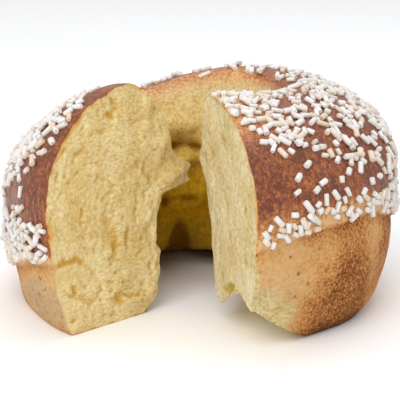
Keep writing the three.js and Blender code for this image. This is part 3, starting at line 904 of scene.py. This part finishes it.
def sugar_rods(skin):
    """Pearl sugar as one mesh: each rod is rings of points round its own axis, narrowed at both ends, lying
    along a random direction of the crust, a little sunk or heaped on its neighbours."""
    centre, out, heaped = strewn_places(skin)
    count = len(centre)
    tilts = [random.uniform(-SUGAR_TILT[key], SUGAR_TILT[key], count) for key in ("heaped", "lying")]
    tilt = np.where(heaped, *tilts)
    along = unit(unit(np.cross(out, random.normal(size=(count, 3)))) + tilt[:, None] * out)
    side = unit(np.cross(along, out))
    rise = np.cross(side, along)
    diameter = random.uniform(*SUGAR_DIAMETER, count)
    length = SUGAR_LENGTH[0] + (SUGAR_LENGTH[1] - SUGAR_LENGTH[0]) * random.random(count) ** SUGAR_SHORTNESS
    centre = centre + out * (diameter * np.where(heaped, SUGAR_SINK["heaped"], SUGAR_SINK["lying"]))[:, None]
    rings = len(SUGAR_STATIONS)
    angle = np.linspace(0, 2 * np.pi, SUGAR_SIDES, endpoint=False)
    uneven = 1 + SUGAR_UNEVEN["sides"] * random.normal(size=(count, 1, SUGAR_SIDES))
    uneven = uneven + SUGAR_UNEVEN["rings"] * random.normal(size=(count, rings, 1))
    radius = diameter[:, None, None] * SUGAR_RADII[None, :, None] * uneven
    points = (
        centre[:, None, None]
        + along[:, None, None] * (length[:, None] * SUGAR_STATIONS)[..., None, None]
        + side[:, None, None] * (radius * np.cos(angle))[..., None]
        + rise[:, None, None] * (radius * np.sin(angle))[..., None]
    )
    index = np.arange(count * rings * SUGAR_SIDES).reshape(count, rings, SUGAR_SIDES)
    ahead = np.roll(index, -1, 2)
    sides = quads(index[:, :-1], index[:, 1:], ahead[:, 1:], ahead[:, :-1])
    ends = np.concatenate([index[:, 0], index[:, -1, ::-1]])
    smooth = np.repeat([True, False], [len(sides), len(ends)])
    rods = put_mesh("sugar_rods", points.reshape(-1, 3), [sides, ends], smooth)
    put_values(rods, "tint", np.repeat(random.random(count), rings * SUGAR_SIDES))
    return rods


def linear(hex_colour):
    """sRGB hex to linear red, green, blue and full alpha."""
    value = np.array([int(hex_colour[i:i + 2], 16) for i in (1, 3, 5)]) / 255
    value = np.where(value <= 0.04045, value / 12.92, ((value + 0.055) / 1.055) ** 2.4)
    return (*value.tolist(), 1.0)


def plug(made, inputs):
    """Fills a node's inputs: each takes an output to link from, a hex colour or a value."""
    for key, value in inputs.items():
        if isinstance(value, bpy.types.NodeSocket):
            made.id_data.links.new(value, made.inputs[key])
        else:
            made.inputs[key].default_value = linear(value) if isinstance(value, str) else value


def node(tree, inputs, kind, out=0, stops=(), **settings):
    """Adds a node with its settings, colour stops as (place, hex) and links, and gives one of its
    outputs."""
    made = tree.nodes.new(kind)
    for key, value in settings.items():
        setattr(made, key, value)
    for _ in stops[2:]:
        made.color_ramp.elements.new(1.0)
    for element, (where, colour) in zip(made.color_ramp.elements if stops else (), stops):
        element.position = where
        element.color = linear(colour)
    plug(made, inputs)
    return made.outputs[out]


# Kinds of node and the settings they share. Inputs by number: a mix has its factor as 0 and its colours as 6
# and 7, a step its value, start and end as 0 to 2, and a sum is 0 times 1 plus 2.
NOISE = {"kind": "ShaderNodeTexNoise"}
CELLS = {"kind": "ShaderNodeTexVoronoi"}
RAMP = {"kind": "ShaderNodeValToRGB"}
BUMP = {"kind": "ShaderNodeBump"}
MAPPING = {"kind": "ShaderNodeMapping"}
ATTRIBUTE = {"kind": "ShaderNodeAttribute", "out": "Fac"}
MIX = {"kind": "ShaderNodeMix", "out": 2, "data_type": "RGBA"}
TINT = {**MIX, "blend_type": "MULTIPLY"}
STEP = {"kind": "ShaderNodeMapRange", "interpolation_type": "SMOOTHSTEP"}
SUM = {"kind": "ShaderNodeMath", "operation": "MULTIPLY_ADD"}
PRODUCT = {"kind": "ShaderNodeMath", "operation": "MULTIPLY"}


def fresh_material(name):
    """An empty node material, what adds nodes to it, its Principled shader and its Object coordinates."""
    material = bpy.data.materials.new(name)
    material.use_nodes = True
    tree = material.node_tree
    add = partial(node, tree)
    return material, add, tree.nodes["Principled BSDF"], add({}, "ShaderNodeTexCoord", "Object")


# Crumb from its pores to its walls: yellow on the left cut and in the hole, paler on the right cut, and
# # brightened under the torn foot as painted light against the shade there
YELLOW_CRUMB = ("#c9ae6c", "#dac38a", "#e5d6a8")
PALE_CRUMB = ("#c2b07a", "#d1c298", "#ddd2b1")
FOOT_CRUMB_PAINTED_LIGHT = ("#dcc68c", "#eedca8", "#f6eac8")

# Noises of the crust: name, size (mm), detail and roughness
CRUST_NOISES = [
    ("blotch", 12, 4.0, 0.6),
    ("fleck", 2.0, 3.0, 0.65),
    ("wrinkle", 3.5, 5.0, 0.5),
    ("speck", 1.1, 2.0, 0.5),
    ("pore", 1.6, 3.0, 0.55),
]


def face_pores(add):
    """Pores of a cut face, about 1.1 by 1.8 mm: noise drawn out across or upwards, as the dough lies
    there."""
    place_on = add({}, **{**ATTRIBUTE, "out": "Vector"}, attribute_name="face_place")
    upright = add({}, **ATTRIBUTE, attribute_name="upright")
    pores = []
    for scale in ((0.6, 1.0, 1.0), (1.0, 0.6, 1.0)):
        along = add({"Vector": place_on, "Scale": scale}, **MAPPING)
        fineness = {"Scale": 1 / (1.1 * MM), "Detail": 3.0, "Roughness": 0.6}
        pores.append(add({"Vector": along, **fineness}, **NOISE))
    return add({0: upright, 6: pores[0], 7: pores[1]}, **MIX)


def crumb_nodes(add, where, colours, pores):
    """Colour and height of open yeast crumb: pale walls round darker pores, with paler and deeper patches
    of about 16 mm, and cells of about 2.4 mm in its height."""
    patches = add({"Vector": where, "Scale": 1 / (16 * MM), "Detail": 2.0}, **NOISE)
    cells = add({"Vector": where, "Scale": 1 / (2.4 * MM)}, **CELLS)
    grain = add({"Fac": pores}, **RAMP, stops=list(zip((0.34, 0.46, 0.6), colours)))
    tone = add({"Fac": patches}, **RAMP, stops=[(0.35, "#f2e8d2"), (0.65, "#ffffff")])
    colour = add({0: 1.0, 6: grain, 7: tone}, **TINT)
    return colour, add({0: pores, 1: 1.0, 2: cells}, **SUM)


def dome_colour(add, value, mottle, specks, streaks):
    """Risen crust from golden to mahogany by its browning, mottled, specked and streaked."""
    browning = add({0: value["brown"], 1: 0.7, 2: 0.15}, **SUM)
    for pattern, share in ((mottle, 0.6), (specks, 0.9), (streaks, 1.1)):
        browning = add({0: pattern, 1: share, 2: browning}, **SUM)
    stops = [(0.1, "#d2a66e"), (0.3, "#c0864c"), (0.5, "#ab6a3a"), (0.75, "#8c4d2a"), (1.0, "#633322")]
    return add({"Fac": browning}, **RAMP, stops=stops)


def side_colour(add, value, where, noise, mottle, specks, streaks):
    """Tinned side from tan to scorched by its browning, grainier where it is browner, with dark pricks
    about 6 mm apart and paler worn flecks."""
    grain = add({0: specks, 1: value["side_brown"]}, **PRODUCT)
    browning = value["side_brown"]
    for pattern, share in ((mottle, 0.3), (streaks, 0.12), (grain, 2.3)):
        browning = add({0: pattern, 1: share, 2: browning}, **SUM)
    # the lowest stop, a greyish tan, is partly painted shade of the left side
    stops = [(0.05, "#bda17b"), (0.24, "#cfa774"), (0.38, "#cb995e"), (0.6, "#b27844"), (0.8, "#8f5729"),
             (1.0, "#6b3d1c")]
    side = add({"Fac": browning}, **RAMP, stops=stops)
    prick = add({"Vector": where, "Scale": 1 / (6.0 * MM)}, **CELLS)
    prick = add({0: specks, 1: 0.8, 2: prick}, **SUM)
    prick = add({0: prick, 1: 0.04, 2: 0.22}, **STEP)
    side = add({0: prick, 6: "#84522a", 7: side}, **MIX)
    worn = [(0.34, "#eae0d2"), (0.5, "#faf7f3"), (0.62, "#ffffff")]
    worn = add({"Fac": noise["fleck"]}, **RAMP, stops=worn)
    return add({0: 1.0, 6: side, 7: worn}, **TINT)


def hole_crumb_with_painted_shade(add, value, crumb):
    """Crumb of the hole: darker and olive deep down, partly its baked tint and partly painted shade of the
    deep hole, with painted shade in its cavities, and paler towards the crest.
    """
    depth = add({0: value["height"], 1: 0.01}, **PRODUCT)
    # the stops darken and turn olive downwards: partly the tube's baked tint, partly painted shade of the
    # deep hole
    stops = [(0.04, "#d4be44"), (0.2, "#d2b83a"), (0.36, "#c8a806"), (0.52, "#e0c440"), (0.64, "#f6e29a"),
             (0.8, "#eadcb8"), (0.95, "#eae8e4")]
    depth_tint_and_shade = add({"Fac": depth}, **RAMP, stops=stops)
    crumb_with_depth_shade = add({0: 1.0, 6: crumb, 7: depth_tint_and_shade}, **TINT)
    # painted shade: a darker copy of the crumb, put in the far wall's cavities by their depth
    painted_cavity_shade = add({0: 1.0, 6: crumb_with_depth_shade, 7: "#b89a3e"}, **TINT)
    cavity_shade_mask = add({0: value["cavity_for_shade"], 1: -3.6, 2: -0.6}, **STEP)
    return add({0: cavity_shade_mask, 6: painted_cavity_shade, 7: crumb_with_depth_shade}, **MIX)


def baked_crust():
    """Egg-washed yeast crust: mahogany where it rose above the tin, golden at the rim and in the funnel,
    tan and mottled on the tinned side, bare crumb in the hole and where it is torn. The hole's crumb carries
    painted shade deep down and in its cavities, the side painted shade under the rim, and the crumb under the
    torn foot painted light. The wash gives a soft sheen."""
    material, add, shader, where = fresh_material("egg_washed_crust")
    names = ("above_rim", "torn", "in_hole", "brown", "side_brown", "height", "cavity_for_shade", "under")
    value = {name: add({}, **ATTRIBUTE, attribute_name=name) for name in names}
    noise = {}
    for name, size, detail, rough in CRUST_NOISES:
        fineness = {"Scale": 1 / (size * MM), "Detail": detail, "Roughness": rough}
        noise[name] = add({"Vector": where, **fineness}, **NOISE)
    upright = add({"Vector": where, "Scale": (1.0, 1.0, 0.3)}, **MAPPING)
    fineness = {"Scale": 1 / (1.8 * MM), "Detail": 3.0, "Roughness": 0.6}
    streaks = add({"Vector": upright, **fineness}, **NOISE)
    streaks = add({0: streaks, 1: 1.0, 2: -0.5}, **SUM)
    specks = add({0: noise["speck"], 1: 1.0, 2: -0.5}, **SUM)
    mottle = add({0: noise["blotch"], 1: 1.2, 2: noise["fleck"]}, **SUM)
    mottle = add({0: mottle, 1: 1.0, 2: -1.1}, **SUM)
    dome = dome_colour(add, value, mottle, specks, streaks)
    side = side_colour(add, value, where, noise, mottle, specks, streaks)
    edge = add({0: noise["blotch"], 1: 3.0, 2: value["above_rim"]}, **SUM)
    risen = add({0: edge, 1: 0.0, 2: 3.5}, **STEP)
    skin = add({0: risen, 6: side, 7: dome}, **MIX)
    crumb, crumb_height = crumb_nodes(add, where, YELLOW_CRUMB, noise["pore"])
    hole_edge = add({0: noise["blotch"], 1: 0.4, 2: value["in_hole"]}, **SUM)
    in_hole = add({0: hole_edge, 1: 0.55, 2: 0.95}, **STEP)
    skin = add({0: in_hole, 6: skin, 7: hole_crumb_with_painted_shade(add, value, crumb)}, **MIX)
    torn_edge = add({0: noise["fleck"], 1: 2.0, 2: value["torn"]}, **SUM)
    torn = add({0: torn_edge, 1: 0.0, 2: 4.0}, **STEP)
    side_crumb = add({0: 1.0, 6: crumb, 7: "#e6e5e1"}, **TINT)
    # painted light: the down-facing crumb under the torn foot is made brighter than the cut faces
    foot_crumb_painted_light, _ = crumb_nodes(add, where, FOOT_CRUMB_PAINTED_LIGHT, noise["pore"])
    torn_crumb = add({0: value["under"], 6: side_crumb, 7: foot_crumb_painted_light}, **MIX)
    relief = add({0: crumb_height, 1: 0.5, 2: noise["wrinkle"]}, **SUM)
    out_of_hole = add({0: in_hole, 1: -1.0, 2: 1.0}, **SUM)
    glazed = add({0: risen, 1: out_of_hole}, **PRODUCT)
    plug(shader, {
        "Base Color": add({0: torn, 6: skin, 7: torn_crumb}, **MIX),
        "Normal": add({"Strength": 0.35, "Distance": 0.8 * MM, "Height": relief}, **BUMP),
        "Roughness": add({0: glazed, 1: -0.36, 2: 0.8}, **SUM),
        "Specular IOR Level": add({0: glazed, 1: 0.25, 2: 0.12}, **SUM),
    })
    return material


def open_crumb():
    """Cut yeast crumb: matt, pale yellow and porous, darker and deeper yellow in its hollows as painted
    shade, with a thin browned rind where it meets the crust."""
    material, add, shader, where = fresh_material("open_yeast_crumb")
    names = ("rind", "pit", "right_face", "above_rim", "height")
    value = {name: add({}, **ATTRIBUTE, attribute_name=name) for name in names}
    right = value["right_face"]
    pores = face_pores(add)
    yellow, crumb_height = crumb_nodes(add, where, YELLOW_CRUMB, pores)
    pale, _ = crumb_nodes(add, where, PALE_CRUMB, pores)
    crumb = add({0: right, 6: yellow, 7: pale}, **MIX)
    # painted shade: the crumb darkened and yellowed in its hollows and seams, by their depth
    painted_hollow_shade = add({0: right, 6: "#ecd08a", 7: "#d6cb78"}, **MIX)
    painted_hollow_shade = add({0: 1.0, 6: crumb, 7: painted_hollow_shade}, **TINT)
    pit_shade_mask = add({0: value["pit"], 1: 0.1, 2: 2.0}, **STEP)
    crumb = add({0: pit_shade_mask, 6: crumb, 7: painted_hollow_shade}, **MIX)
    risen = add({0: value["above_rim"], 1: -4.0, 2: 6.0}, **STEP)
    off_foot = add({0: value["height"], 1: 2.0, 2: 5.0}, **STEP)
    brown = add({0: right, 6: "#9a5c2c", 7: "#c08c4a"}, **MIX)
    brown = add({0: risen, 6: "#d6b87e", 7: brown}, **MIX)
    brown = add({0: off_foot, 6: "#bd8a52", 7: brown}, **MIX)
    golden = add({0: risen, 6: "#dcc28a", 7: "#cf9a4c"}, **MIX)
    faded = add({"Vector": where, "Scale": 1 / (14 * MM), "Detail": 2.0}, **NOISE)
    faded = add({0: faded, 1: 0.38, 2: 0.62}, **STEP)
    golden = add({0: faded, 6: golden, 7: crumb}, **MIX)
    wander = add({"Vector": where, "Scale": 1 / (6 * MM), "Detail": 4.0}, **NOISE)
    edge = add({0: wander, 1: -5.0, 2: value["rind"]}, **SUM)
    edge = add({0: edge, 1: 1.0, 2: 1.3}, **SUM)
    past_golden = add({0: edge, 1: -0.4, 2: 1.8}, **STEP)
    past_brown = add({0: edge, 1: -1.1, 2: -0.4}, **STEP)
    baked = add({0: past_golden, 6: golden, 7: crumb}, **MIX)
    plug(shader, {
        "Base Color": add({0: past_brown, 6: brown, 7: baked}, **MIX),
        "Normal": add({"Strength": 0.22, "Distance": 0.8 * MM, "Height": crumb_height}, **BUMP),
        "Roughness": 0.85,
        "Specular IOR Level": 0.2,
    })
    return material


def pearl_sugar():
    """Pressed pearl sugar: opaque, matt and white, some rods tinged cream or peach by the egg wash."""
    material, add, shader, where = fresh_material("pearl_sugar")
    tint = add({}, **ATTRIBUTE, attribute_name="tint")
    grit = add({"Vector": where, "Scale": 1 / (0.9 * MM), "Detail": 2.0}, **NOISE)
    stops = [(0.0, "#dfdddb"), (0.6, "#dcd6cf"), (0.88, "#d8ccbc"), (1.0, "#d6bc9e")]
    plug(shader, {
        "Base Color": add({"Fac": tint}, **RAMP, stops=stops),
        "Normal": add({"Strength": 0.3, "Distance": 0.3 * MM, "Height": grit}, **BUMP),
        "Roughness": 0.6,
    })
    return material


def pale_table():
    """Matt painted table top: plain white with hardly any sheen."""
    material, _, shader, _ = fresh_material("matt_white_table")
    plug(shader, {"Base Color": "#f4f4f3", "Roughness": 0.9, "Specular IOR Level": 0.1})
    return material


def put_light(name, at, aim, size, power, colour):
    """A square soft box at a point (m), turned to face another."""
    light = bpy.data.lights.new(name, "AREA")
    light.size = size
    light.energy = power
    light.color = linear(colour)[:3]
    lamp = bpy.data.objects.new(name, light)
    lamp.location = at
    lamp.rotation_euler = (Vector(aim) - Vector(at)).to_track_quat("-Z", "Y").to_euler()
    bpy.context.scene.collection.objects.link(lamp)


body, skin = cake_body()
rods = sugar_rods(skin)
body.data.materials.append(baked_crust())
body.data.materials.append(open_crumb())
rods.data.materials.append(pearl_sugar())
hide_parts("ring_cake")
for piece in (body, rods):
    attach(piece, "root")

# Stage: a pale table, soft boxes and an even surround
TABLE_HALF = 3000.0
table = put_mesh(
    "table",
    np.array([[-1, -1, 0], [1, -1, 0], [1, 1, 0], [-1, 1, 0]]) * TABLE_HALF - AXIS,
    [np.array([[0, 1, 2, 3]])],
)
table.data.materials.append(pale_table())
MIDDLE = (0.0, 0.0, 0.05)
put_light("key_softbox", (-0.35, -0.85, 0.95), MIDDLE, 0.8, 8.0, "#ffffff")
put_light("top_softbox", (0.2, 0.5, 1.3), MIDDLE, 1.0, 5.0, "#eaf0ff")
world = bpy.data.worlds.new("even_surround")
world.use_nodes = True
plug(world.node_tree.nodes["Background"], {"Color": "#ffffff", "Strength": 0.85})
bpy.context.scene.world = world
bpy.context.scene.view_settings.view_transform = "Standard"

# Camera: about 700 mm from the middle of the cake's foot, and 18.5 degrees above the table seen from there
camera = bpy.data.objects.new("camera", bpy.data.cameras.new("camera"))
camera.data.lens = 123.7
camera.data.sensor_width = 36.0
EYE = Vector((-0.0028, -0.66483, 0.2221))
AIM = Vector((0.0002, -0.001, 0.0474))
camera.location = EYE
camera.rotation_euler = (AIM - EYE).to_track_quat("-Z", "Y").to_euler()
camera.data.clip_start = 0.01
bpy.context.scene.collection.objects.link(camera)
bpy.context.scene.camera = camera
